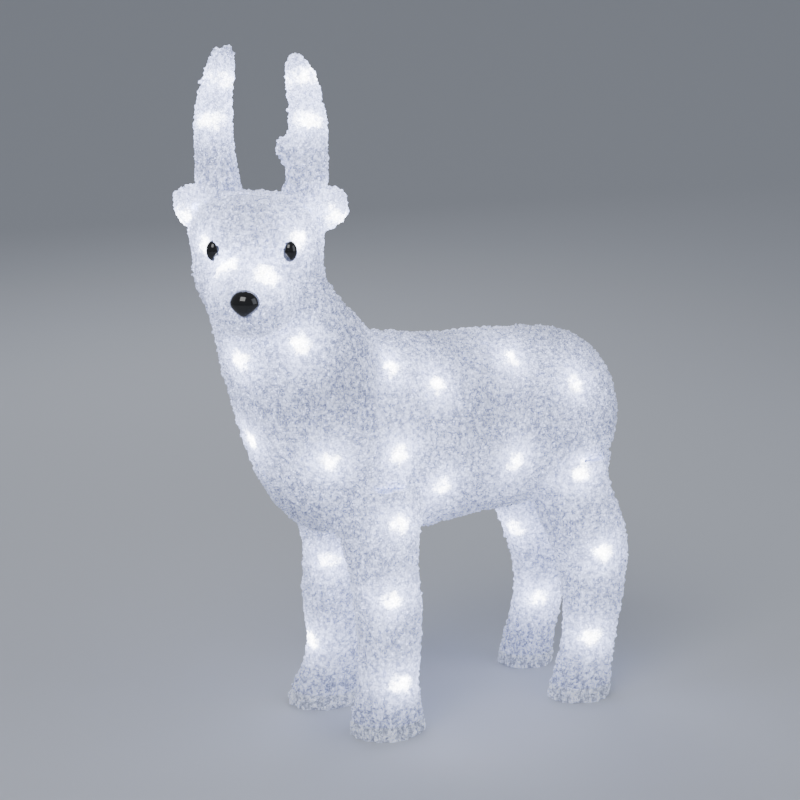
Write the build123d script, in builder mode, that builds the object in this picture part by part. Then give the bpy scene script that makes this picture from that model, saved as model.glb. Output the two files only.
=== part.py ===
"""Standing reindeer figure for the garden, lit from inside.

A hollow figure of clear acrylic: a body and a neck moulded in halves, a head in a
face and a back, two ears, two antlers, four leg tubes and four solid hooves, all
glued at plain butt seams. Inside, forty lamps in sockets press against the walls and
hang on twin leads that branch from two splice sleeves. A rubber grommet under the
belly takes the supply lead.

Frame: the figure stands on the plane Z = 0, nose towards -X, its left side towards -Y.
Units are millimetres.
"""
from build123d import *
from math import cos, hypot, radians, sin, tan
import os

# ---- driving dimensions ----------------------------------------------------------
WALL = 3.0                 # thickness of every acrylic shell
HOOF_HEIGHT = 10.0         # solid clear foot below each leg tube
SPIGOT_HEIGHT = 6.0        # plug of the hoof inside its leg tube
LEG_SEAM = 127.0           # height where the leg tubes meet the body
HEAD_TURN = 233.0          # direction the face looks, degrees from +X
HEAD_CENTRE = (-152.5, -6.6)

LAMP_RADIUS = 2.5          # 5 mm lamps
LAMP_LENGTH = 7.5
SOCKET_RADIUS = 3.3
SOCKET_LENGTH = 9.0
SOCKET_DEPTH = 3.0         # how far a lamp stands in its socket
LAMP_GAP = 0.5             # air between a lamp's tip and the wall it lights
LEAD_RADIUS = 0.8
LEAD_SPACING = 1.4         # each of a socket's two leads from its centre
LEAD_STUB = 7.0            # straight lead behind a socket

SLEEVE_RADIUS = 6.0        # splice sleeves
SLEEVE_LENGTH = 22.0
SLEEVE_LEAD_RING = 3.6     # leads leave a sleeve on a circle of this radius

EYE_ANGLE = 35.0           # each eye from the face's direction
EYE_HEIGHT = 328.0
EYE_HALF_WIDTH = 4.6
EYE_HALF_HEIGHT = 6.4
NOSE_HEIGHT = 299.0
NOSE_HALF_WIDTH = 9.0
STEM_RADIUS = 1.5          # stems that hold the eyes and the nose

GROMMET_X = 40.0
GROMMET_BORE = 2.2
GROMMET_NECK = 4.5
GROMMET_FLANGE = 7.0
FLANGE_THICK = 1.5

# ---- outlines --------------------------------------------------------------------
# Torso sections: distance along X, centre Y, centre Z, half width, half height.
TORSO = [
    (-120, 0, 203, 24, 34), (-108, 0, 201, 42, 54), (-80, 0, 199, 51, 66),
    (-40, 0, 196, 53, 66), (0, 0, 197, 53, 63), (40, 0, 197.5, 54, 61.5),
    (66, 0, 198, 54, 60), (90, 0, 198.5, 50, 55), (109, 0, 198, 38, 42),
    (119, 0, 197, 22, 25), (123, 0, 197, 9, 11),
]
# Chest, neck and skull sections: height, centre X, centre Y, half length, half width.
COLUMN = [
    (138, -88, 0, 27, 27), (150, -92, 0, 38, 40), (175, -98, 0, 49, 49),
    (215, -108, 0, 54, 51), (255, -121, -1, 53, 48), (285, -138, -3, 44.5, 43),
    (308, -152, -4, 40, 41), (325, -154, -5, 40, 42), (340, -155, -5, 40, 42),
    (352, -156, -5, 34, 36), (359, -156, -5, 22, 24), (361, -156, -5, 9, 10),
]
# Leg sections, from the ground up into the body, in the same order as COLUMN.
LEGS = {
    "front_left": [
        (0, -76, -34, 25, 21), (8, -76, -34, 24.5, 20.5), (22, -77, -36, 21.5, 19),
        (60, -77, -38, 20, 19), (100, -79, -37, 22, 21), (135, -82, -34, 26, 24),
        (170, -84, -30, 30, 26),
    ],
    "front_right": [
        (0, -80, 42, 26, 22), (8, -80, 42, 25, 21), (22, -77, 41, 21, 19),
        (60, -75, 39, 19, 19), (100, -75, 37, 21, 21), (135, -79, 34, 26, 24),
        (170, -84, 30, 30, 26),
    ],
    "hind_left": [
        (0, 77, -44, 22, 18), (10, 78, -44, 21.5, 17.5), (30, 83, -43, 18.5, 17),
        (50, 88, -41, 19, 17), (80, 92, -38, 23, 19), (105, 90, -36, 27, 22),
        (135, 81, -32, 30, 25), (170, 74, -27, 34, 27),
    ],
    "hind_right": [
        (0, 88, 37, 20, 18), (10, 89, 37, 19.5, 17), (30, 94, 37, 18, 16),
        (50, 99, 37, 18, 16), (80, 100, 36, 21, 18), (105, 95, 35, 25, 22),
        (135, 86, 32, 30, 25), (170, 76, 27, 34, 27),
    ],
}
# Muzzle sections along the face's direction: distance, sideways shift, height of the
# centre, half width, half height.
MUZZLE = [
    (20, 0, 304, 30, 28), (38, 0, 301, 27, 25), (50, 0, 299, 23, 21),
    (58, 0, 297, 15, 14), (61, 0, 296, 8, 7.5),
]
# Antler sections in the head's own frame: height, forward, out to the side,
# half length, half width. The right antler stands a little higher.
ANTLER = [
    (336, -6, 24, 12, 12), (352, -6, 27, 13.5, 13.5), (372, -6, 28.5, 12, 12.5),
    (395, -6, 30, 11, 11.5), (413, -6, 29, 10.5, 10.5), (429, -6, 26.5, 9, 9),
    (440, -6, 23.5, 6.5, 6.5), (444, -6, 22, 3.6, 3.6),
]
RIGHT_ANTLER_RISE = 4.0
# Ear sections out from the head's middle: distance, rise, half length, half height.
EAR = [
    (26, 349, 8.5, 11), (38, 351, 9, 13), (46, 352.5, 8.6, 12.5), (51, 353.5, 6.6, 9.5),
    (54, 354, 3.6, 5),
]


# ---- solids from outlines --------------------------------------------------------
def drawn_in(sections, inset):
    """Sections of the surface that lies inset inside a limb's skin, square to it."""
    inner = []
    for i, (station, centre_u, centre_v, half_u, half_v) in enumerate(sections):
        before = sections[max(i - 1, 0)]
        after = sections[min(i + 1, len(sections) - 1)]
        run = after[0] - before[0]
        rise = (after[3] + after[4] - before[3] - before[4]) / 2
        length = hypot(run, rise)
        moved = station + inset * rise / length
        shrunk = inset * run / length
        inner.append((moved, centre_u, centre_v, half_u - shrunk, half_v - shrunk))
    return [section for section in inner if min(section[3:]) > 1.0]


def skin(base, sections, inset=0.0):
    """Solid through the elliptic sections of one limb, drawn in by inset all round."""
    with BuildPart() as body:
        for station, centre_u, centre_v, half_u, half_v in drawn_in(sections, inset):
            with BuildSketch(base.offset(station)):
                with Locations((centre_u, centre_v)):
                    Ellipse(half_u, half_v)
        loft()
    return body.part


def head_frame(turn=0.0):
    """Horizontal plane through the head's middle, X forwards and Y to its left."""
    angle = radians(HEAD_TURN + turn)
    return Plane(origin=(*HEAD_CENTRE, 0), x_dir=(cos(angle), sin(angle), 0))


def muzzle_plane():
    """Upright plane across the face at the head's middle, facing forwards."""
    level = head_frame()
    return Plane(origin=level.origin, x_dir=level.y_dir, z_dir=level.x_dir)


def antler_sections(side):
    rise = RIGHT_ANTLER_RISE if side < 0 else 0.0
    return [(z + rise, x, side * y, a, b) for z, x, y, a, b in ANTLER]


def ear_plane(side):
    """Upright plane at the head's middle that faces out through one ear."""
    level = head_frame()
    return Plane(origin=level.origin, x_dir=level.x_dir, z_dir=level.y_dir * side)


def ear_sections(side):
    return [(s, 0, -z * side, a, b) for s, z, a, b in EAR]


def figure_solid(inset=0.0):
    """Body, neck, skull, muzzle and legs as one solid, drawn in by inset."""
    with BuildPart() as body:
        add(skin(Plane.YZ, TORSO, inset))
        add(skin(Plane.XY, COLUMN, inset))
        for sections in LEGS.values():
            add(skin(Plane.XY, sections, inset))
        add(skin(muzzle_plane(), MUZZLE, inset))
    return body.part


figure = figure_solid()
hollow = figure_solid(WALL)
skull = skin(Plane.XY, COLUMN)

# ---- seams -----------------------------------------------------------------------
leg_seam = Plane.XY.offset(LEG_SEAM)
mid_seam = Plane.XZ                                   # its normal is -Y, the left side
neck_seam = Plane(origin=(-128, 0, 258), z_dir=(-0.45, 0, 1))
chin_seam = Plane(origin=(-155, -5, 300), z_dir=(-0.36, -0.48, 1))
face_seam = muzzle_plane().offset(10)

finished = {}


def finish(name, piece):
    """Label a piece and keep it for export."""
    piece.label = name
    finished[name] = piece


# ---- shells ----------------------------------------------------------------------
with BuildPart() as wall:
    add(figure)
    add(hollow, mode=Mode.SUBTRACT)

for side_name, keep in (("left", Keep.TOP), ("right", Keep.BOTTOM)):
    with BuildPart() as body_half:
        add(wall.part)
        split(bisect_by=leg_seam, keep=Keep.TOP)
        split(bisect_by=neck_seam, keep=Keep.BOTTOM)
        with Locations((GROMMET_X, 0, TORSO[5][2] - TORSO[5][4])):
            Cylinder(GROMMET_NECK, 20, mode=Mode.SUBTRACT)
        split(bisect_by=mid_seam, keep=keep)
    finish(f"body_shell_{side_name}", body_half.part)

    with BuildPart() as neck_half:
        add(wall.part)
        split(bisect_by=neck_seam, keep=Keep.TOP)
        split(bisect_by=chin_seam, keep=Keep.BOTTOM)
        split(bisect_by=mid_seam, keep=keep)
    finish(f"neck_shell_{side_name}", neck_half.part)

for leg_name, sections in LEGS.items():
    with BuildPart() as leg:
        add(skin(Plane.XY, sections))
        add(skin(Plane.XY, sections, WALL), mode=Mode.SUBTRACT)
        split(bisect_by=leg_seam, keep=Keep.BOTTOM)
        split(bisect_by=Plane.XY.offset(HOOF_HEIGHT), keep=Keep.TOP)
    finish(f"{leg_name}_leg", leg.part)

    with BuildPart() as spigot:
        add(skin(Plane.XY, sections, WALL))
        split(bisect_by=Plane.XY.offset(HOOF_HEIGHT + SPIGOT_HEIGHT), keep=Keep.BOTTOM)
        split(bisect_by=Plane.XY.offset(HOOF_HEIGHT / 2), keep=Keep.TOP)
    with BuildPart() as hoof:
        add(skin(Plane.XY, sections))
        split(bisect_by=Plane.XY.offset(HOOF_HEIGHT), keep=Keep.BOTTOM)
        add(spigot.part)
    finish(f"{leg_name}_hoof", hoof.part)

# ---- antlers and ears --------------------------------------------------------------
EAR_PORT_RADIUS = SOCKET_RADIUS + 0.9
ANTLER_PORT_RADIUS = 5.5
EAR_LAMP_HEIGHT = 349.5
EAR_LAMP_REACH = 46.5


def ear_port(side):
    """Drilled way for the ear's lamp, out of the skull through the antler's foot."""
    with BuildPart() as port:
        with BuildSketch(ear_plane(side).offset(24)):
            with Locations((0, -EAR_LAMP_HEIGHT * side)):
                Circle(EAR_PORT_RADIUS)
        extrude(amount=22)
    return port.part


def antler_port(side):
    """Drilled way for the antler's leads, up through the skull."""
    with BuildPart() as port:
        with BuildSketch(head_frame().offset(338)):
            with Locations((ANTLER[1][1] - 2, side * ANTLER[1][2])):
                Circle(ANTLER_PORT_RADIUS)
        extrude(amount=24)
    return port.part


for side_name, side in (("left", 1), ("right", -1)):
    with BuildPart() as antler:
        add(skin(head_frame(), antler_sections(side)))
        add(skin(head_frame(), antler_sections(side), WALL), mode=Mode.SUBTRACT)
        add(skull, mode=Mode.SUBTRACT)
        add(ear_port(side), mode=Mode.SUBTRACT)
    finish(f"antler_{side_name}", antler.part)

    with BuildPart() as ear:
        add(skin(ear_plane(side), ear_sections(side)))
        add(skin(ear_plane(side), ear_sections(side), WALL - 0.5), mode=Mode.SUBTRACT)
        add(skull, mode=Mode.SUBTRACT)
        add(skin(head_frame(), antler_sections(side)), mode=Mode.SUBTRACT)
    finish(f"ear_{side_name}", ear.part)

# a stub of a second tine on the inner side of the left antler
TINE = [(24, 385, 8, 9.5), (15.5, 387, 7, 8.5), (12, 388, 5, 6), (10.5, 388.5, 2.4, 3)]
with BuildPart() as tine:
    for across, height, half_length, half_height in TINE:
        seat = head_frame()
        seat.origin = seat.origin + seat.x_dir * -6 + seat.y_dir * across + Vector(0, 0, height)
        with BuildSketch(Plane(origin=seat.origin, x_dir=seat.x_dir, z_dir=-seat.y_dir)):
            Ellipse(half_length, half_height)
    loft()
    add(skin(head_frame(), antler_sections(1)), mode=Mode.SUBTRACT)
finish("antler_tine", tine.part)


# ---- head --------------------------------------------------------------------------
def meeting(solid, origin, direction):
    """First point where a ray from inside a solid meets its skin, and the slant there."""
    toward = Vector(*direction).normalized()
    start = Vector(*origin)
    hits = solid.find_intersection_points(Axis(start, toward))
    ahead = [(hit, normal) for hit, normal in hits if (hit - start).dot(toward) > 0]
    hit, normal = min(ahead, key=lambda pair: (pair[0] - start).length)
    return hit, abs(normal.dot(toward))


def eye_plane(side):
    """Plane on the face's skin where an eye sits, facing outwards."""
    level = head_frame(EYE_ANGLE * side)
    start = Vector(*HEAD_CENTRE, EYE_HEIGHT)
    hit, _ = meeting(figure, start, level.x_dir)
    return Plane(origin=hit, x_dir=level.y_dir, z_dir=level.x_dir)


level_head = head_frame()
nose_seat = Plane(
    origin=level_head.origin + level_head.x_dir * (MUZZLE[3][0] - 1) + Vector(0, 0, NOSE_HEIGHT),
    x_dir=level_head.y_dir, z_dir=level_head.x_dir + Vector(0, 0, 0.12))

NOSE_SECTIONS = [(-2, 0.86), (1.5, 1.0), (5, 0.93), (8, 0.66), (9.4, 0.3)]  # depth, scale


with BuildPart() as nose:
    for depth, scale in NOSE_SECTIONS:
        with BuildSketch(nose_seat.offset(depth)):
            with BuildLine():
                Spline(
                    (0, -8.2 * scale), (NOSE_HALF_WIDTH * 0.72 * scale, -3.6 * scale),
                    (NOSE_HALF_WIDTH * scale, 3.2 * scale), (0, 7.6 * scale),
                    (-NOSE_HALF_WIDTH * scale, 3.2 * scale),
                    (-NOSE_HALF_WIDTH * 0.72 * scale, -3.6 * scale), periodic=True)
            make_face()
    loft()
    with BuildSketch(nose_seat.offset(-9)):
        Circle(STEM_RADIUS)
    extrude(amount=8)
finish("nose", nose.part)

for side_name, side in (("left", 1), ("right", -1)):
    seat = eye_plane(side)
    with BuildPart() as eye:
        with BuildSketch(seat.offset(-1.2)):
            Ellipse(EYE_HALF_WIDTH, EYE_HALF_HEIGHT)
        extrude(amount=1.8)
        for depth, scale in ((0.6, 1.0), (2.2, 0.87), (3.4, 0.45)):
            with BuildSketch(seat.offset(depth)):
                Ellipse(EYE_HALF_WIDTH * scale, EYE_HALF_HEIGHT * scale)
        loft()
        with BuildSketch(seat.offset(-6)):
            Circle(STEM_RADIUS)
        extrude(amount=4.8)
    finish(f"eye_{side_name}", eye.part)

for piece_name, keep in (("face_shell", Keep.TOP), ("skull_shell", Keep.BOTTOM)):
    with BuildPart() as head_half:
        add(wall.part)
        split(bisect_by=chin_seam, keep=Keep.TOP)
        split(bisect_by=face_seam, keep=keep)
        for side in (1, -1):
            add(ear_port(side), mode=Mode.SUBTRACT)
            add(antler_port(side), mode=Mode.SUBTRACT)
        for trim in ("eye_left", "eye_right", "nose"):
            add(finished[trim], mode=Mode.SUBTRACT)
    finish(piece_name, head_half.part)

# ---- lamps ---------------------------------------------------------------------------
# Each lamp is set by a ray from inside the figure: a point and a direction. Around an
# upright limb the direction is an angle from +X, around the torso it is an angle above
# the level line out to one side.
def around(x, y, z, angle):
    return (x, y, z), (cos(radians(angle)), sin(radians(angle)), 0)


def torso_ray(x, side, rise):
    return (x, 0, 198), (0, side * cos(radians(rise)), sin(radians(rise)))


def against_wall(ray):
    """Centre of a lamp's dome and its direction, just clear of the wall it lights."""
    origin, direction = ray
    hit, slant = meeting(hollow, origin, direction)
    toward = Vector(*direction).normalized()
    return hit - toward * ((LAMP_RADIUS + LAMP_GAP) / slant), toward


def in_head(forward, across, height):
    """Point given in the head's own frame."""
    return level_head.origin + level_head.x_dir * forward + level_head.y_dir * across \
        + Vector(0, 0, height)


def ear_lamp(side):
    return in_head(0, side * EAR_LAMP_REACH, EAR_LAMP_HEIGHT), level_head.y_dir * side


def antler_lamps(side):
    low = in_head(-3.4, side * 30.2, 407), Vector(0, 0, 1)
    high = in_head(-6, side * 26.4, 431.5), Vector(0, 0, 1)
    return [low, high]


LAMPS = {
    "torso_left": [against_wall(torso_ray(x, -1, rise)) for x, rise in (
        (-76, -6), (-74, 56), (-44, 42), (-42, -35), (15, -23), (21, 54), (66, 31),
        (70, -38))],
    "torso_right": [against_wall(torso_ray(x, 1, rise)) for x, rise in (
        (-70, 52), (-34, 18), (-45, -35), (12, -25), (20, 54), (62, 28), (72, -38))],
    "neck": [against_wall(around(*ray)) for ray in (
        (-103, 0, 194, 243), (-129, -2, 270, 247), (-124, -1, 259, 196),
        (-124, -1, 264, 120), (-103, 0, 200, 116), (-103, 0, 205, 180))],
    "head": [
        ear_lamp(-1), against_wall(around(-155, -5, 331, 192)),
        against_wall(around(-155, -5, 314, 222)), against_wall(around(-155, -5, 311, 247)),
        against_wall(around(-155, -5, 334, 280)), ear_lamp(1)],
    "antler_left": antler_lamps(1),
    "antler_right": antler_lamps(-1),
    "front_left": [against_wall(around(*ray)) for ray in (
        (-83, -33, 148, 275), (-79, -37, 99, 250), (-77, -37, 40, 264))],
    "front_right": [against_wall(around(*ray)) for ray in (
        (-76, 36, 108, 230), (-76, 40.5, 47, 185))],
    "hind_left": [against_wall(around(*ray)) for ray in (
        (90, -36, 106, 255), (86, -42, 44, 235))],
    "hind_right": [against_wall(around(*ray)) for ray in (
        (92, 34, 110, 195), (99, 37, 52, 230))],
}
SOCKET_BACK = LAMP_LENGTH - LAMP_RADIUS - SOCKET_DEPTH + SOCKET_LENGTH
for region, lamps in LAMPS.items():
    with BuildPart() as lamp_group:
        for centre, toward in lamps:
            with BuildSketch(Plane(origin=centre, z_dir=toward)):
                Circle(LAMP_RADIUS)
            extrude(amount=LAMP_RADIUS - LAMP_LENGTH)
            with Locations(centre):
                Sphere(LAMP_RADIUS)
    finish(f"lamps_{region}", lamp_group.part)

    with BuildPart() as socket_group:
        for centre, toward in lamps:
            front = Plane(origin=centre - toward * (SOCKET_BACK - SOCKET_LENGTH), z_dir=toward)
            with BuildSketch(front):
                Circle(SOCKET_RADIUS)
            extrude(amount=-SOCKET_LENGTH)
            with BuildSketch(front):
                Circle(LAMP_RADIUS)
            extrude(amount=-SOCKET_DEPTH, mode=Mode.SUBTRACT)
    finish(f"sockets_{region}", socket_group.part)

# ---- leads -----------------------------------------------------------------------------
# On a sleeve's end face, turn 0 is the right side; 90 is up on the body's sleeve and
# forwards on the neck's.
body_sleeve = Plane(origin=(0, 0, 206), x_dir=(0, 1, 0), z_dir=(1, 0, 0))
neck_sleeve = Plane(origin=(-131, -1, 256), x_dir=(0, 1, 0), z_dir=(-0.42, 0, 1))


def sleeve_end(sleeve, turn, end):
    """Point on a sleeve's end face where a lead leaves, and the way it points."""
    angle = radians(turn)
    ring = sleeve.x_dir * (SLEEVE_LEAD_RING * cos(angle)) \
        + sleeve.y_dir * (SLEEVE_LEAD_RING * sin(angle))
    return sleeve.origin + ring + sleeve.z_dir * (end * SLEEVE_LENGTH / 2), sleeve.z_dir * end


def socket_ports(lamp, before, after):
    """Where leads enter and leave a socket's back, on opposite sides of its middle."""
    centre, toward = lamp
    back = centre - toward * SOCKET_BACK
    across = []
    for point in (before, after):
        aside = point - back
        across.append((aside - toward * aside.dot(toward)).normalized())
    aside = (across[1] - across[0]).normalized() * LEAD_SPACING
    return back - aside, back + aside


def string(start, via, lamps):
    """Corner points of every lead of a string, from a sleeve through its lamps."""
    via = [Vector(*point) for point in via]
    stops = [via[-1]] + [
        centre - toward * (SOCKET_BACK + LEAD_STUB) for centre, toward in lamps]
    leave, way = start
    corners = via
    routes = []
    for i, lamp in enumerate(lamps):
        beyond = stops[i + 2] if i + 2 < len(stops) else stops[i + 1] * 2 - stops[i]
        enter, depart = socket_ports(lamp, stops[i], beyond)
        back_way = lamp[1] * -1
        routes.append([
            leave, leave + way * LEAD_STUB, *corners, enter + back_way * LEAD_STUB, enter])
        leave, way, corners = depart, back_way, []
    return routes


def bend_radii(points):
    """Radius of each bend of a lead, as large as the runs beside it allow."""
    radii = []
    for before, corner, after in zip(points, points[1:], points[2:]):
        turn = (corner - before).get_angle(after - corner)
        shorter = min((corner - before).length, (after - corner).length)
        radii.append(0.45 * shorter / tan(radians(turn / 2)))
    return radii


# region: sleeve, turn and end where its string starts, and the corners of its first lead
FEEDS = {
    "torso_left": (body_sleeve, 180, -1, [(-36, -10, 204)]),
    "torso_right": (body_sleeve, 0, -1, [(-36, 10, 208)]),
    "front_left": (body_sleeve, 235, -1, [(-32, -6, 190), (-66, -14, 164)]),
    "front_right": (body_sleeve, 305, -1, [(-32, 6, 188), (-62, 26, 150)]),
    "hind_left": (body_sleeve, 210, 1, [(34, -7, 198), (78, -14, 160)]),
    "hind_right": (body_sleeve, 330, 1, [(34, 7, 198), (84, 16, 160)]),
    "neck": (neck_sleeve, 180, -1, [(-114, -10, 222)]),
    "head": (neck_sleeve, 115, 1, [(-160, -8, 306)]),
}
ROUTES = {
    region: string(sleeve_end(sleeve, turn, end), via, LAMPS[region])
    for region, (sleeve, turn, end, via) in FEEDS.items()}
# the trunk between the two sleeves belongs to the neck's string
trunk_start, trunk_out = sleeve_end(body_sleeve, 90, -1)
trunk_end, trunk_in = sleeve_end(neck_sleeve, 270, -1)
ROUTES["neck"].append([
    trunk_start, trunk_start + trunk_out * 14, Vector(-66, 1, 220), Vector(-104, 1, 226),
    trunk_end + trunk_in * 9, trunk_end])
# each antler's two lamps have a lead of their own, up through the skull
for side_name, side, low_turn, high_turn in (("left", 1, 195, 250), ("right", -1, 60, 10)):
    low, high = LAMPS[f"antler_{side_name}"]
    low_via = [in_head(-5, side * 19, 322), in_head(-5, side * 28, 352)]
    high_via = [
        in_head(-11, side * 19, 318), in_head(-11, side * 27, 350),
        in_head(-10.6, side * 28.6, 392)]
    ROUTES[f"antler_{side_name}"] = \
        string(sleeve_end(neck_sleeve, low_turn, 1), low_via, [low]) \
        + string(sleeve_end(neck_sleeve, high_turn, 1), high_via, [high])

for region, routes in ROUTES.items():
    with BuildPart() as leads:
        for points in routes:
            with BuildLine():
                FilletPolyline(*points, radius=bend_radii(points))
            with BuildSketch(Plane(origin=points[0], z_dir=points[1] - points[0])):
                Circle(LEAD_RADIUS)
            sweep()
    tightest = min(min(bend_radii(points)) for points in routes)
    print(f"leads_{region}: {len(routes)} leads, tightest bend {tightest:.1f} mm")
    finish(f"leads_{region}", leads.part)

for name, sleeve in (("splice_sleeve_body", body_sleeve), ("splice_sleeve_neck", neck_sleeve)):
    with BuildPart() as splice:
        with BuildSketch(sleeve.offset(-SLEEVE_LENGTH / 2)):
            Circle(SLEEVE_RADIUS)
        extrude(amount=SLEEVE_LENGTH)
        chamfer(splice.edges().filter_by(GeomType.CIRCLE), length=0.8)
    finish(name, splice.part)

# ---- lead inlet --------------------------------------------------------------------------
belly = TORSO[5][2] - TORSO[5][4] - 0.5     # the flange rests on the belly's lowest line
grommet_layers = [                          # start, thickness, radius
    (belly - FLANGE_THICK, FLANGE_THICK, GROMMET_FLANGE), (belly, WALL + 1.6, GROMMET_NECK),
    (belly + WALL + 1.6, FLANGE_THICK, GROMMET_FLANGE - 1)]
with BuildPart() as grommet:
    for start, thickness, radius in grommet_layers:
        with BuildSketch(Plane.XY.offset(start)):
            with Locations((GROMMET_X, 0)):
                Circle(radius)
                Circle(GROMMET_BORE, mode=Mode.SUBTRACT)
        extrude(amount=thickness)
finish("lead_grommet", grommet.part)

# ---- export, with the origin in the middle of the figure's footprint box ------------------
boxes = [piece.bounding_box() for piece in finished.values()]
low = [min(getattr(box.min, axis) for box in boxes) for axis in "XYZ"]
high = [max(getattr(box.max, axis) for box in boxes) for axis in "XYZ"]
shift = Location((-(low[0] + high[0]) / 2, -(low[1] + high[1]) / 2, -low[2]))
print("origin moved by", shift.position, "height", high[2] - low[2])
os.makedirs("parts", exist_ok=True)
for name, piece in finished.items():
    placed = piece.moved(shift)
    placed.label = name
    export_step(placed, f"parts/{name}.step")
print(f"{len(finished)} pieces written")
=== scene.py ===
# %% [markdown]
# # A lit reindeer of frosted acrylic
# The figure is a hollow skin of clear acrylic with a grainy, icy surface, lit from
# inside by forty small white lamps. The CAD frame holds its shells, hooves, eyes,
# nose, lamps and leads. Here the shells are fused into one skin, roughened like
# melted acrylic threads, and cut again along the real seams.

# %% Load the frame
import math
import random
import bpy
import numpy as np
from mathutils import Matrix, Vector


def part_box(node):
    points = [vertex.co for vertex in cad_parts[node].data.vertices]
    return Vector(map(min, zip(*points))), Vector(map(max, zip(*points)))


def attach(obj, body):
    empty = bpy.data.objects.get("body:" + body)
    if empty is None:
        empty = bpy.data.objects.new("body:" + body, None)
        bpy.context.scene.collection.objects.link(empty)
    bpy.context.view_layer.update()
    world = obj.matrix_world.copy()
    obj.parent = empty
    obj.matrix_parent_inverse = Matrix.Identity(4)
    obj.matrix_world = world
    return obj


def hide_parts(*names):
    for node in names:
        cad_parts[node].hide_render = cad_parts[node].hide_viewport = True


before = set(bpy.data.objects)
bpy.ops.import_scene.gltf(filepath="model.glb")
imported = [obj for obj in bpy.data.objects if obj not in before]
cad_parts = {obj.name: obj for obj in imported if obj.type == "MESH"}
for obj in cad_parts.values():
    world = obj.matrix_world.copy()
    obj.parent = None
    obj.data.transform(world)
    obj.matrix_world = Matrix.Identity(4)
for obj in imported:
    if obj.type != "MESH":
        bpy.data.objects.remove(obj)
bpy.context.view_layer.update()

MM = 0.001

# %% [markdown]
# ## Small helpers
# An operator acts on everything selected, so each step first selects one object and
# nothing else. Colours are given as the hex values a paint program shows and turned
# into the linear values that the shader expects.

# %% Helpers
def linear(hex_colour, alpha=1.0):
    """Linear RGBA from an sRGB hex value."""
    parts = [int(hex_colour[i:i + 2], 16) / 255 for i in (1, 3, 5)]
    flat = [v / 12.92 if v <= 0.04045 else ((v + 0.055) / 1.055) ** 2.4 for v in parts]
    return (*flat, alpha)


def select_only(*things):
    """Select these objects and nothing else; the last becomes active."""
    if bpy.context.object and bpy.context.object.mode != "OBJECT":
        bpy.ops.object.mode_set(mode="OBJECT")
    bpy.ops.object.select_all(action="DESELECT")
    for thing in things:
        thing.hide_set(False)
        thing.select_set(True)
    bpy.context.view_layer.objects.active = things[-1]


def node(tree, kind, links=None, settings=None, **inputs):
    """Add one shader node, set its options and inputs, and link what feeds it."""
    made = tree.nodes.new(kind)
    for key, value in (settings or {}).items():
        setattr(made, key, value)
    for key, value in inputs.items():
        made.inputs[key.replace("_", " ")].default_value = value
    for key, source in (links or {}).items():
        tree.links.new(source, made.inputs[key])
    return made


def modify(thing, kind, **settings):
    """Add a modifier to a piece and apply it."""
    select_only(thing)
    bpy.ops.object.modifier_add(type=kind)
    added = thing.modifiers[-1]
    for key, value in settings.items():
        setattr(added, key, value)
    bpy.ops.object.modifier_apply(modifier=added.name)


def bake_place(thing):
    """Put an object's place into its mesh, so that the object sits at the origin."""
    select_only(thing)
    bpy.ops.object.transform_apply(location=True, rotation=True, scale=True)


UP = Vector((0, 0, 1))
FACE_AHEAD = Vector((-0.6018, -0.7986, 0))     # the way the face looks
ACROSS = Vector((0.7986, -0.6018, 0))          # from the head's middle to its left ear
print("helpers ready")

# %% [markdown]
# ## Camera, floor and light
# The camera stands low on the figure's front left and looks a little down, with a
# portrait lens so that the legs stay parallel. A pale floor that curves up into a
# backdrop and three soft area lights leave the figure's own light readable.

# %% Camera
CAMERA_PLACE = (-0.668, -1.0605, 0.451)
CAMERA_TURN = math.radians(-32.0)
CAMERA_TILT = math.radians(90 - 10.6)
bpy.ops.object.camera_add(location=CAMERA_PLACE, rotation=(CAMERA_TILT, 0, CAMERA_TURN))
camera = bpy.context.object
camera.name = "studio_camera"
camera.data.lens = 85
camera.data.sensor_width = 36
camera.data.clip_start = 0.01
bpy.context.scene.camera = camera
print("camera at", CAMERA_PLACE)

# %% Floor and lights
SWEEP_SIZE = 9.0
SWEEP_RISE = 4.0
bpy.ops.mesh.primitive_plane_add(
    size=SWEEP_SIZE, location=(0, 0, 0), rotation=(0, 0, CAMERA_TURN))
floor = bpy.context.object
floor.name = "floor"
bake_place(floor)
away = Vector((-math.sin(CAMERA_TURN), math.cos(CAMERA_TURN), 0))
bpy.ops.object.mode_set(mode="EDIT")
bpy.ops.mesh.select_mode(type="EDGE")
bpy.ops.mesh.select_all(action="DESELECT")
bpy.ops.object.mode_set(mode="OBJECT")
for edge in floor.data.edges:
    ends = [floor.data.vertices[i].co.dot(away) for i in edge.vertices]
    edge.select = min(ends) > SWEEP_SIZE * 0.4
bpy.ops.object.mode_set(mode="EDIT")
bpy.ops.mesh.extrude_region_move(TRANSFORM_OT_translate={"value": (0, 0, SWEEP_RISE)})
bpy.ops.object.mode_set(mode="OBJECT")
for edge in floor.data.edges:
    ends = [floor.data.vertices[i].co for i in edge.vertices]
    edge.select = all(abs(end.z) < 0.01 and end.dot(away) > SWEEP_SIZE * 0.4 for end in ends)
bpy.ops.object.mode_set(mode="EDIT")
bpy.ops.mesh.bevel(offset=SWEEP_RISE * 0.8, segments=24, affect="EDGES")
bpy.ops.object.mode_set(mode="OBJECT")
bpy.ops.object.shade_smooth()

paper = bpy.data.materials.new("matt_backdrop_paper")
paper.use_nodes = True
paper_tree = paper.node_tree
paper_tree.nodes["Principled BSDF"].inputs["Base Color"].default_value = linear("#C6C9CF")
paper_tree.nodes["Principled BSDF"].inputs["Roughness"].default_value = 0.85
floor.data.materials.append(paper)

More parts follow.
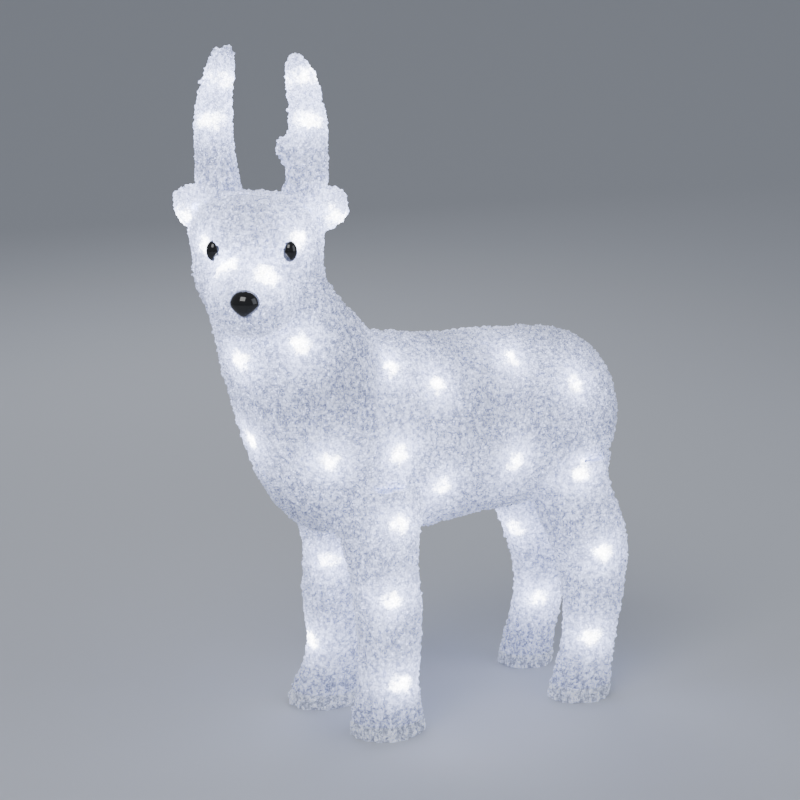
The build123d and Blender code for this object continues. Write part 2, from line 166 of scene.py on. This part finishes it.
world = bpy.data.worlds.new("studio")
world.use_nodes = True
world.node_tree.nodes["Background"].inputs["Color"].default_value = linear("#B4B8C0")
world.node_tree.nodes["Background"].inputs["Strength"].default_value = 0.6
bpy.context.scene.world = world


def area_light(name, place, aim, size, watts, colour):
    """One soft square light that looks at a point."""
    direction = Vector(aim) - Vector(place)
    bpy.ops.object.light_add(
        type="AREA", location=place, rotation=direction.to_track_quat("-Z", "Y").to_euler())
    light = bpy.context.object
    light.name = name
    light.data.size = size
    light.data.energy = watts
    light.data.color = linear(colour)[:3]
    return light


MIDDLE = (0, 0, 0.22)
area_light("key_light", (-1.3, -1.0, 1.7), MIDDLE, 1.2, 20, "#FFFFFF")
area_light("fill_light", (1.2, -1.4, 0.9), MIDDLE, 1.4, 8, "#EEF3FF")
area_light("rim_light", (0.6, 1.5, 1.2), MIDDLE, 1.0, 8, "#F4F7FF")
print("floor and three lights")

# %% [markdown]
# ## Where the lamps are
# Every lamp group of the frame is copied, merged and split into its separate lamps,
# and the middle of each is kept. These places decide where the skin glows.

# %% Lamp places
def copy_of(names, new_name):
    """One new object with copies of these CAD nodes' meshes, doubles merged."""
    copies = []
    for name in names:
        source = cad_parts[name]
        twin = source.copy()
        twin.data = source.data.copy()
        bpy.context.scene.collection.objects.link(twin)
        for key in list(twin.keys()):
            del twin[key]
        twin.parent = None
        twin.matrix_world = Matrix.Identity(4)
        twin.data.materials.clear()
        copies.append(twin)
    select_only(*copies)
    if len(copies) > 1:
        bpy.ops.object.join()
    whole = bpy.context.object
    whole.name = new_name
    bpy.ops.object.mode_set(mode="EDIT")
    bpy.ops.mesh.select_all(action="SELECT")
    bpy.ops.mesh.remove_doubles(threshold=0.02 * MM)
    bpy.ops.object.mode_set(mode="OBJECT")
    return whole


lamp_nodes = sorted(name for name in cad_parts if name.startswith("lamps_"))
lamp_copy = copy_of(lamp_nodes, "lamp_copy")
select_only(lamp_copy)
bpy.ops.mesh.separate(type="LOOSE")
lamp_places = []
for lamp in list(bpy.context.selected_objects):
    corners = np.array([vertex.co[:] for vertex in lamp.data.vertices])
    lamp_places.append((corners.min(0) + corners.max(0)) / 2)
    bpy.data.objects.remove(lamp)
lamp_places = np.array(sorted(lamp_places, key=tuple))
print(len(lamp_places), "lamps found")

# %% [markdown]
# ## One skin from many shells
# The real skin is built up from melted acrylic threads, so its seams almost vanish.
# Copies of all shells and hooves are joined with four balls that bung the larger
# holes, and a voxel remesh fuses them into one skin with a wall of real thickness.
# Its inner and outer sides meet somewhere, so they stay one surface.

# %% Fuse the shells
SHELLS = [
    "body_shell_left", "body_shell_right", "neck_shell_left", "neck_shell_right",
    "face_shell", "skull_shell", "ear_left", "ear_right", "antler_left", "antler_right",
    "antler_tine",
]
LEG_NAMES = ["front_left", "front_right", "hind_left", "hind_right"]
SHELLS += [f"{leg}_leg" for leg in LEG_NAMES] + [f"{leg}_hoof" for leg in LEG_NAMES]
VOXEL = 0.95 * MM
COARSE_VOXEL = 1.5 * MM    # enough for the smooth skin, before its grain

skin = copy_of(SHELLS, "acrylic_skin")
print("shells joined:", len(skin.data.vertices), "points")


def ball(place, radius, detail=2):
    """A small ball of acrylic."""
    bpy.ops.mesh.primitive_ico_sphere_add(subdivisions=detail, radius=radius, location=place)
    return bpy.context.object


def middle_of(name):
    """Middle of a CAD node's box."""
    low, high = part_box(name)
    return (low + high) / 2


# the holes for the grommet and the eye and nose stems are bunged; radii in mm
BUNGS = {"lead_grommet": 5.2, "eye_left": 3.4, "eye_right": 3.4, "nose": 5.5}
bungs = [ball(middle_of(name), radius * MM) for name, radius in BUNGS.items()]
SWELL = 0.4 * MM           # shells that only touch are made to overlap, so that they fuse
modify(skin, "DISPLACE", strength=SWELL, mid_level=0)
select_only(*bungs, skin)
bpy.ops.object.join()
skin = bpy.context.object

modify(skin, "REMESH", mode="VOXEL", voxel_size=COARSE_VOXEL, use_smooth_shade=True)


def tallest_part(thing):
    """Split an object into its loose parts and keep the tallest."""
    select_only(thing)
    bpy.ops.mesh.separate(type="LOOSE")
    loose = sorted(bpy.context.selected_objects, key=lambda part: part.dimensions.z)
    kept = loose.pop()
    for part in loose:
        bpy.data.objects.remove(part)
    kept.name = "acrylic_skin"
    return kept


skin = tallest_part(skin)
modify(skin, "SMOOTH", factor=0.6, iterations=int(5 * MM / COARSE_VOXEL))
print("skin:", len(skin.data.vertices), "points")

# %% [markdown]
# ## Stray drips, lumps and the frosted grain
# Melted acrylic leaves small lumps and loops where threads overlap. They are small
# balls scattered over both sides of the skin by a fixed seed and fused with it by a
# second remesh, with larger ones on the antler tips. Then displacement textures
# roughen the surface: a slow swell, upright strands, a cellular pattern of about
# 3.4 mm and a grain of about 2 mm.

# %% Lumps and strands
LUMP_SEED = 11
LUMP_COUNT = 520
LOOP_COUNT = 46
LOOP_STEPS = 9             # balls in one loop
LOOP_RISE = 0.55           # a loop's height as a share of half its length
LOOP_THREAD = 0.85 * MM
LOOP_FLOOR = 5 * MM        # no loops start lower than this
chance = random.Random(LUMP_SEED)
skin_spots = [vertex.co.copy() for vertex in skin.data.vertices]
skin_ways = [vertex.normal.copy() for vertex in skin.data.vertices]


def stray_loop(start, out, radius, span):
    """A thread of melted balls that leaves the skin, bends over and comes back to it."""
    along = out.cross(Vector((chance.uniform(-1, 1), chance.uniform(-1, 1), 1))).normalized()
    made = []
    for i in range(LOOP_STEPS):
        turn = math.pi * i / (LOOP_STEPS - 1)
        place = start + along * span * math.cos(turn) + out * span * LOOP_RISE * math.sin(turn)
        made.append(ball(place, radius * chance.uniform(0.9, 1.15), 1))
    return made


lumps = []
for _ in range(LOOP_COUNT):
    pick = chance.randrange(len(skin_spots))
    if skin_spots[pick].z > LOOP_FLOOR:
        lumps += stray_loop(
            skin_spots[pick], skin_ways[pick], LOOP_THREAD, chance.uniform(2.4, 4.2) * MM)
for _ in range(LUMP_COUNT):
    pick = chance.randrange(len(skin_spots))
    radius = chance.uniform(1.0, 1.9) * MM
    lumps.append(ball(skin_spots[pick] + skin_ways[pick] * radius * 0.25, radius, 1))

# the forked clump on the right antler's tip, and a bead on the left one's: across,
# back and up from the tip, and radius, in mm
tips = [("antler_right", -5.5, 0, 1.0, 3.6), ("antler_right", -7.5, 1.5, -3.5, 3.0),
        ("antler_right", 2.0, 0.5, 1.5, 4.2), ("antler_left", 0.5, 0, 0.5, 4.6)]


def tip_of(name):
    """Middle of an antler's highest points."""
    points = [v.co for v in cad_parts[name].data.vertices]
    top = max(point.z for point in points)
    crown = [point for point in points if point.z > top - 1.5 * MM]
    return sum(crown, Vector()) / len(crown)


for name, across, back, rise, radius in tips:
    place = tip_of(name) + ACROSS * across * MM + Vector((0, back, rise - 2)) * MM
    lumps.append(ball(place, radius * MM, 2))

# a run of acrylic at the inner lower edge of the right eye
EYE_RUN = (3.0, 3.6, -4.2)      # across, ahead and up from the eye's middle, mm
across, ahead, rise = EYE_RUN
run_place = middle_of("eye_right") + FACE_AHEAD * ahead * MM
lumps.append(ball(run_place + ACROSS * across * MM + Vector((0, 0, rise * MM)), 2.5 * MM))
select_only(*lumps, skin)
bpy.ops.object.join()
skin = bpy.context.object
modify(skin, "REMESH", mode="VOXEL", voxel_size=VOXEL, use_smooth_shade=True)
skin = tallest_part(skin)
modify(skin, "SMOOTH", factor=0.5, iterations=2)
print("lumps fused:", len(skin.data.vertices), "points")

# %% Frosted grain
def relief(name, kind, size_mm, depth_mm, stretch=None, **settings):
    """Press one procedural texture into the skin, its middle grey left level."""
    texture = bpy.data.textures.new(name, kind)
    texture.noise_scale = size_mm * MM
    for key, value in settings.items():
        setattr(texture, key, value)
    options = {"texture_coords": "LOCAL"}
    guide = None
    if stretch:
        bpy.ops.object.empty_add(location=(0, 0, 0))
        guide = bpy.context.object
        guide.scale = stretch
        bpy.context.view_layer.update()
        options = {"texture_coords": "OBJECT", "texture_coords_object": guide}
    modify(skin, "DISPLACE", texture=texture, strength=depth_mm * MM, mid_level=0.5, **options)
    if guide:
        bpy.data.objects.remove(guide)


def all_points(piece):
    """Places of a piece's points as an array."""
    places = np.empty(len(piece.data.vertices) * 3, dtype=np.float32)
    piece.data.vertices.foreach_get("co", places)
    return places.reshape(-1, 3)


relief("swell", "CLOUDS", 9.0, 1.6, noise_depth=1)
level_places = all_points(skin)
level_ways = np.array([vertex.normal[:] for vertex in skin.data.vertices])
relief("strands", "CLOUDS", 2.2, 1.5, stretch=(1, 1, 7), noise_depth=0)
relief("cells", "VORONOI", 3.4, 2.3)
relief("grain", "CLOUDS", 2.0, 3.0, noise_depth=1)
RELIEF_REACH = 1.0 * MM    # from the level skin to the crown of a grain
heights = np.einsum("ij,ij->i", all_points(skin) - level_places, level_ways)
heights -= np.median(heights)
crowns = skin.data.attributes.new("crown", "FLOAT", "POINT")
crowns.data.foreach_set("value", np.clip(0.5 + heights / RELIEF_REACH / 2, 0, 1).astype(np.float32))
print("grain pressed in:", [round(v * 1000, 1) for v in skin.dimensions], "mm")

# %% [markdown]
# ## Light from inside
# Each point of the skin gets three numbers from its distance to the lamps: a tight
# spot where a lamp touches the wall, a soft bloom round it, and a wide halo of light
# scattered in the acrylic. The finish reads them, so the light belongs to the piece
# and not to the view. The clear feet stand away from the lamps and get less.

# %% Glow attributes
WALL_SPACE = 6.0 * MM      # from the middle of a lamp to the outer skin
SPOT_WIDTH = 4.6 * MM
BLOOM_WIDTH = 10.0 * MM
FOOT_FADE = 55.0 * MM      # below this height less and less light reaches the skin
HALO_WIDTH = 23.0 * MM


def add_glow(piece):
    """Store the light that reaches every point as attributes."""
    points = all_points(piece)
    spot = np.zeros(len(points), dtype=np.float32)
    bloom = np.zeros(len(points), dtype=np.float32)
    halo = np.zeros(len(points), dtype=np.float32)
    for place in lamp_places:
        away = np.maximum(np.linalg.norm(points - place, axis=1) - WALL_SPACE, 0)
        spot += np.exp(-(away / SPOT_WIDTH) ** 2)
        bloom += np.exp(-(away / BLOOM_WIDTH) ** 2)
        halo += np.exp(-(away / HALO_WIDTH) ** 2)
    fade = np.clip(points[:, 2] / FOOT_FADE, 0.12, 1)
    glow = {"spot": np.minimum(spot, 1), "bloom": np.minimum(bloom, 1),
            "halo": (1 - np.exp(-1.3 * halo)) * fade}
    for name, values in glow.items():
        attribute = piece.data.attributes.new(name, "FLOAT", "POINT")
        attribute.data.foreach_set("value", values.astype(np.float32))


add_glow(skin)
print("glow stored on", len(skin.data.vertices), "points")

# %% [markdown]
# ## Cutting the skin along its seams
# The finished skin is bisected at the places where the real parts are taken to be
# glued, and each cut is filled. The fill follows a ragged double wall and leaves some
# open and some doubled edges at the caps. The caps' edges are sharp, which keeps the
# shading of the outside smooth right up to the seam.

# %% Cut the pieces
leg_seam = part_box("front_left_leg")[1].z
hoof_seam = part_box("front_left_leg")[0].z
mid_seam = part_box("body_shell_left")[1].y
skull_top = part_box("skull_shell")[1].z
NECK_SEAM = Vector((-0.089, -0.001, 0.258)), Vector((-0.45, 0, 1))
CHIN_SEAM = Vector((-0.116, -0.006, 0.300)), Vector((-0.36, -0.48, 1))
HEAD_MIDDLE = Vector((-0.1135, -0.0076, 0))
EAR_REACH = 45.5 * MM
ANTLER_FOOT = skull_top + 3 * MM


def cut(thing, point, normal, name):
    """Cut a piece in two at a plane, fill both, and return the side the normal faces."""
    twin = thing.copy()
    twin.data = thing.data.copy()
    twin.name = name
    bpy.context.scene.collection.objects.link(twin)
    for half, outer in ((thing, True), (twin, False)):
        select_only(half)
        bpy.ops.object.mode_set(mode="EDIT")
        bpy.ops.mesh.select_all(action="SELECT")
        bpy.ops.mesh.bisect(
            plane_co=point, plane_no=normal, use_fill=True, clear_outer=outer,
            clear_inner=not outer)
        bpy.ops.mesh.mark_sharp()
        bpy.ops.object.mode_set(mode="OBJECT")
    return twin


upper = cut(skin, Vector((0, 0, leg_seam)), UP, "upper")
pieces = {}

# the soles are cut level with the ground, then hooves and legs come apart
sole_cut = cut(skin, Vector((0, 0, 0.15 * MM)), UP, "legs")
bpy.data.objects.remove(skin)
leg_part = cut(sole_cut, Vector((0, 0, hoof_seam)), UP, "leg_part")
for whole, kind in ((sole_cut, "hoof"), (leg_part, "leg")):
    select_only(whole)
    bpy.ops.mesh.separate(type="LOOSE")
    parts = sorted(bpy.context.selected_objects, key=lambda t: -len(t.data.vertices))
    for extra in parts[4:]:
        bpy.data.objects.remove(extra)
    for part in parts[:4]:
        points = part.data.vertices
        centre = sum((point.co for point in points), Vector()) / len(points)
        name = ("front" if centre.x < 0 else "hind") + ("_left" if centre.y < 0 else "_right")
        pieces[f"{name}_{kind}"] = part

upper_front = cut(upper, *NECK_SEAM, "above_neck_seam")
pieces["body_shell_right"] = cut(upper, Vector((0, mid_seam, 0)), Vector((0, 1, 0)), "body_right")
pieces["body_shell_left"] = upper
head = cut(upper_front, *CHIN_SEAM, "head")
pieces["neck_shell_right"] = cut(
    upper_front, Vector((0, mid_seam, 0)), Vector((0, 1, 0)), "neck_right")
pieces["neck_shell_left"] = upper_front
antlers = cut(head, Vector((0, 0, ANTLER_FOOT)), UP, "antlers")
pieces["ear_left"] = cut(head, HEAD_MIDDLE + ACROSS * EAR_REACH, ACROSS, "ear_l")
pieces["ear_right"] = cut(head, HEAD_MIDDLE - ACROSS * EAR_REACH, -ACROSS, "ear_r")
pieces["face_shell"] = cut(head, HEAD_MIDDLE + FACE_AHEAD * 0.010, FACE_AHEAD, "face")
pieces["skull_shell"] = head
pieces["antler_left"] = cut(antlers, HEAD_MIDDLE, ACROSS, "antler_l")
pieces["antler_right"] = antlers

TORSO_AXIS = Vector((0, mid_seam, 0.197))
THINNED = 0.52             # share of the faces that stays


def thin_inside(piece):
    """Use larger faces where the surface faces the torso's axis, mostly the unseen wall."""
    group = piece.vertex_groups.new(name="inner_wall")
    inner = []
    for point in piece.data.vertices:
        from_axis = point.co - TORSO_AXIS
        from_axis.x = 0
        if point.normal.dot(from_axis) < 0:
            inner.append(point.index)
    group.add(inner, 1.0, "REPLACE")
    modify(piece, "DECIMATE", ratio=THINNED, vertex_group="inner_wall")


for side in ("left", "right"):
    thin_inside(pieces[f"body_shell_{side}"])

for name, piece in pieces.items():
    piece.name = f"skin_{name}"
    piece.data.name = piece.name
    print(f"{piece.name}: {len(piece.data.polygons)} faces, {len(piece.data.vertices)} points")

# %% [markdown]
# ## The finishes
# The skin is acrylic laid on as molten threads: clear, but so full of tiny edges and
# air that it looks like frozen snow. It scatters the lamps' light, so the finish is an
# opaque bluish white that gives light of its own, brighter where a lamp touches the
# wall and broken up by the grain. The hooves are the same plastic, cast solid: greyer,
# and given less of the light.

# %% Acrylic
def acrylic(name, crown_hex, hollow_shade_hex, light_hex, body_light, spot_light, rough_span):
    """Clear threaded acrylic lit from inside: its grain breaks up colour and light, and the base
    colour carries painted shade, darker in the hollows of the relief.
    """
    material = bpy.data.materials.new(name)
    material.use_nodes = True
    tree = material.node_tree
    shader = tree.nodes["Principled BSDF"]

    def attribute(key):
        """A number stored on the piece's points."""
        return node(tree, "ShaderNodeAttribute", settings={"attribute_name": key}).outputs["Fac"]

    def mapped(source, low, high, out_low, out_high, kind="LINEAR"):
        """A value moved from one range to another, held at its ends."""
        return node(tree, "ShaderNodeMapRange", {"Value": source}, {"interpolation_type": kind},
                    From_Min=low, From_Max=high, To_Min=out_low, To_Max=out_high,
                    ).outputs["Result"]

    def sum_or_product(operation, first, second):
        """Two values added or multiplied."""
        made = node(tree, "ShaderNodeMath", settings={"operation": operation})
        for socket, value in zip(made.inputs, (first, second)):
            if isinstance(value, float):
                socket.default_value = value
            else:
                tree.links.new(value, socket)
        return made.outputs[0]

    place = node(tree, "ShaderNodeTexCoord").outputs["Object"]
    grain = node(tree, "ShaderNodeTexNoise", {"Vector": place},
                 Scale=1 / (1.0 * MM), Detail=3.0, Roughness=0.7).outputs["Fac"]
    fine = node(tree, "ShaderNodeTexNoise", {"Vector": place},
                Scale=1 / (0.8 * MM), Detail=1.0).outputs["Fac"]
    patch = node(tree, "ShaderNodeTexNoise", {"Vector": place},
                 Scale=1 / (7.0 * MM), Detail=2.0).outputs["Fac"]
    cells = node(tree, "ShaderNodeTexVoronoi", {"Vector": place},
                 Scale=1 / (1.8 * MM)).outputs["Distance"]
    crown = attribute("crown")
    spot = attribute("spot")
    halo = attribute("halo")

    # how much of the inner light gets out: crowns pass it, hollows hold it back
    clear = sum_or_product("ADD", mapped(crown, 0.15, 0.85, 0.0, 0.6),
                           mapped(grain, 0.34, 0.66, -0.2, 0.6))
    clear = sum_or_product("MULTIPLY", clear, mapped(cells, 0.05, 0.75, 1.35, 0.5))
    # the base colour follows the same value: painted shade darkens the hollows of the relief, while
    # the grain and cells vary the tone at random
    colour = node(tree, "ShaderNodeValToRGB", {"Fac": clear})
    colour.color_ramp.elements[0].position = 0.1
    colour.color_ramp.elements[0].color = linear(hollow_shade_hex)
    colour.color_ramp.elements[1].position = 0.75
    colour.color_ramp.elements[1].color = linear(crown_hex)
    tree.links.new(colour.outputs["Color"], shader.inputs["Base Color"])

    scatter = sum_or_product("MULTIPLY", mapped(halo, 0.0, 1.0, 0.22, 1.0),
                             mapped(clear, 0.05, 0.9, body_light * 0.28, body_light * 1.5))
    glint = sum_or_product("MULTIPLY", mapped(fine, 0.6, 0.72, 0.0, body_light * 2.4),
                           mapped(halo, 0.0, 1.0, 0.25, 1.0))
    scatter = sum_or_product("ADD", scatter, glint)
    ragged = sum_or_product("ADD", spot, mapped(grain, 0.3, 0.7, -0.14, 0.14))
    ragged = sum_or_product("ADD", ragged, mapped(patch, 0.3, 0.7, -0.2, 0.2))
    core = mapped(ragged, 0.28, 0.9, 0.0, 1.0, "SMOOTHSTEP")
    lit = sum_or_product("MULTIPLY", core, mapped(clear, 0.0, 0.8, spot_light * 0.5, spot_light))
    bloom = sum_or_product("MULTIPLY", attribute("bloom"),
                           mapped(clear, 0.0, 0.8, body_light * 0.6, body_light * 1.7))
    strength = sum_or_product("ADD", sum_or_product("ADD", scatter, bloom), lit)
    tree.links.new(strength, shader.inputs["Emission Strength"])
    tint = node(tree, "ShaderNodeMix", {"Factor": core}, {"data_type": "RGBA"})
    tint.inputs["A"].default_value = linear(light_hex)
    tint.inputs["B"].default_value = linear("#FFFFFF")
    tree.links.new(tint.outputs["Result"], shader.inputs["Emission Color"])

    bump = node(tree, "ShaderNodeBump", {"Height": grain}, Strength=0.6, Distance=0.7 * MM)
    tree.links.new(bump.outputs["Normal"], shader.inputs["Normal"])
    tree.links.new(mapped(grain, 0.3, 0.7, *rough_span), shader.inputs["Roughness"])
    shader.inputs["IOR"].default_value = 1.49
    return material


# in each finish the first colour is that of the crowns and the second is the painted shade in the
# hollows
frosted = acrylic("threaded_clear_acrylic", "#EEF1FB", "#7C85AA", "#C4CFFF", 1.95, 12.0,
                  (0.08, 0.34))
cast = acrylic("cast_clear_acrylic", "#EAEDF5", "#8A91A8", "#D0D9FA", 1.7, 3.0, (0.03, 0.2))
for name, piece in pieces.items():
    piece.data.materials.clear()
    piece.data.materials.append(cast if "hoof" in name else frosted)
    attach(piece, "root")
    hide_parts(name)
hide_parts("antler_tine")
print("acrylic on", len(pieces), "pieces")

# %% [markdown]
# ## Eyes and nose
# They are moulded black plastic with a high polish, pressed into the skin on stems.
# Each starts as a sphere that is flattened and shaped in edit mode.

# %% Black gloss
def black_gloss():
    """Polished black moulded plastic."""
    material = bpy.data.materials.new("polished_black_abs")
    material.use_nodes = True
    tree = material.node_tree
    shader = tree.nodes["Principled BSDF"]
    place = node(tree, "ShaderNodeTexCoord").outputs["Object"]
    haze = node(tree, "ShaderNodeTexNoise", {"Vector": place}, Scale=1 / (4 * MM), Detail=2.0)
    rough = node(tree, "ShaderNodeMapRange", {"Value": haze.outputs["Fac"]},
                 To_Min=0.05, To_Max=0.13)
    tree.links.new(rough.outputs["Result"], shader.inputs["Roughness"])
    shader.inputs["Base Color"].default_value = linear("#0A0A0C")
    shader.inputs["Coat Weight"].default_value = 0.6
    shader.inputs["Coat Roughness"].default_value = 0.04
    return material


polished_black = black_gloss()
HEAD_TURN = 233.0
EYE_ANGLE = 35.0


def face_turn(degrees):
    """Rotation that lays Z along a level direction and keeps Y upright."""
    angle = math.radians(degrees)
    out = Vector((math.cos(angle), math.sin(angle), 0))
    across = Vector((-out.y, out.x, 0))
    return Matrix((across, UP, out)).transposed().to_4x4()


def domed(name, seat, turn, half_width, half_height, depth):
    """A flattened ball, set on the face."""
    bpy.ops.mesh.primitive_uv_sphere_add(segments=48, ring_count=32, radius=1.0)
    dome = bpy.context.object
    dome.name = name
    bpy.ops.object.mode_set(mode="EDIT")
    bpy.ops.mesh.select_all(action="SELECT")
    bpy.ops.transform.resize(value=(half_width, half_height, depth))
    bpy.ops.object.mode_set(mode="OBJECT")
    dome.matrix_world = Matrix.Translation(seat) @ face_turn(turn)
    return dome


for side_name, side in (("left", 1), ("right", -1)):
    name = f"eye_{side_name}"
    out = Vector((math.cos(math.radians(HEAD_TURN + side * EYE_ANGLE)),
                  math.sin(math.radians(HEAD_TURN + side * EYE_ANGLE)), 0))
    seat = middle_of(name) + out * 1.2 * MM
    eye = domed(f"glossy_{name}", seat, HEAD_TURN + side * EYE_ANGLE, 4.7 * MM, 6.6 * MM, 4.6 * MM)
    bake_place(eye)
    bpy.ops.object.shade_smooth()
    eye.data.materials.append(polished_black)
    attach(eye, "root")
    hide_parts(name)

nose = domed("glossy_nose", middle_of("nose") + FACE_AHEAD * 2.0 * MM, HEAD_TURN,
             9.3 * MM, 8.6 * MM, 8.0 * MM)
for vertex in nose.data.vertices:
    below = max(0.0, -vertex.co.y / (8.6 * MM))
    vertex.co.x *= 1 - 0.42 * below ** 1.4
bake_place(nose)
bpy.ops.object.shade_smooth()
nose.data.materials.append(polished_black)
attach(nose, "root")
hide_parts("nose")
print("eyes and nose set")

# %% [markdown]
# ## What is inside
# Lamps, sockets, leads and sleeves are hidden by the skin but keep a finish of their
# own, so the model is complete when it is opened.

# %% Inner finishes
def plain_plastic(name, hex_colour, roughness, grain_mm, glow=0.0):
    """Moulded plastic with a faint mottling at the size of its mould texture."""
    material = bpy.data.materials.new(name)
    material.use_nodes = True
    tree = material.node_tree
    shader = tree.nodes["Principled BSDF"]
    place = node(tree, "ShaderNodeTexCoord").outputs["Object"]
    mottle = node(tree, "ShaderNodeTexNoise", {"Vector": place},
                  Scale=1 / (grain_mm * MM), Detail=2.0)
    shade = node(tree, "ShaderNodeHueSaturation", {"Value": node(
        tree, "ShaderNodeMapRange", {"Value": mottle.outputs["Fac"]},
        To_Min=0.92, To_Max=1.06).outputs["Result"]}, Color=linear(hex_colour))
    tree.links.new(shade.outputs["Color"], shader.inputs["Base Color"])
    shader.inputs["Roughness"].default_value = roughness
    if glow:
        shader.inputs["Emission Color"].default_value = linear("#EAF0FF")
        shader.inputs["Emission Strength"].default_value = glow
    return material


INNER = {
    "lamps_": plain_plastic("clear_epoxy_lens", "#F4F8FF", 0.1, 2.0, glow=3.0),
    "sockets_": plain_plastic("white_nylon_socket", "#E9E7E0", 0.45, 1.5),
    "splice_": plain_plastic("white_shrink_sleeve", "#DEDCD6", 0.5, 1.5),
    "leads_": plain_plastic("clear_pvc_insulation", "#CDD3D8", 0.35, 3.0),
    "lead_grommet": plain_plastic("black_moulded_rubber", "#141414", 0.7, 0.8),
}
for name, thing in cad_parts.items():
    for start, material in INNER.items():
        if name.startswith(start):
            thing.data.materials.clear()
            thing.data.materials.append(material)
print("inner finishes on lamps, sockets, sleeves, leads and grommet")

# %% Sizes and finish
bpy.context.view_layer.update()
counts = {thing.name: sum(len(face.vertices) - 2 for face in thing.data.polygons)
          for thing in pieces.values()}
print("triangles:", sum(counts.values()), "in the skin,", max(counts.values()), "in one piece")
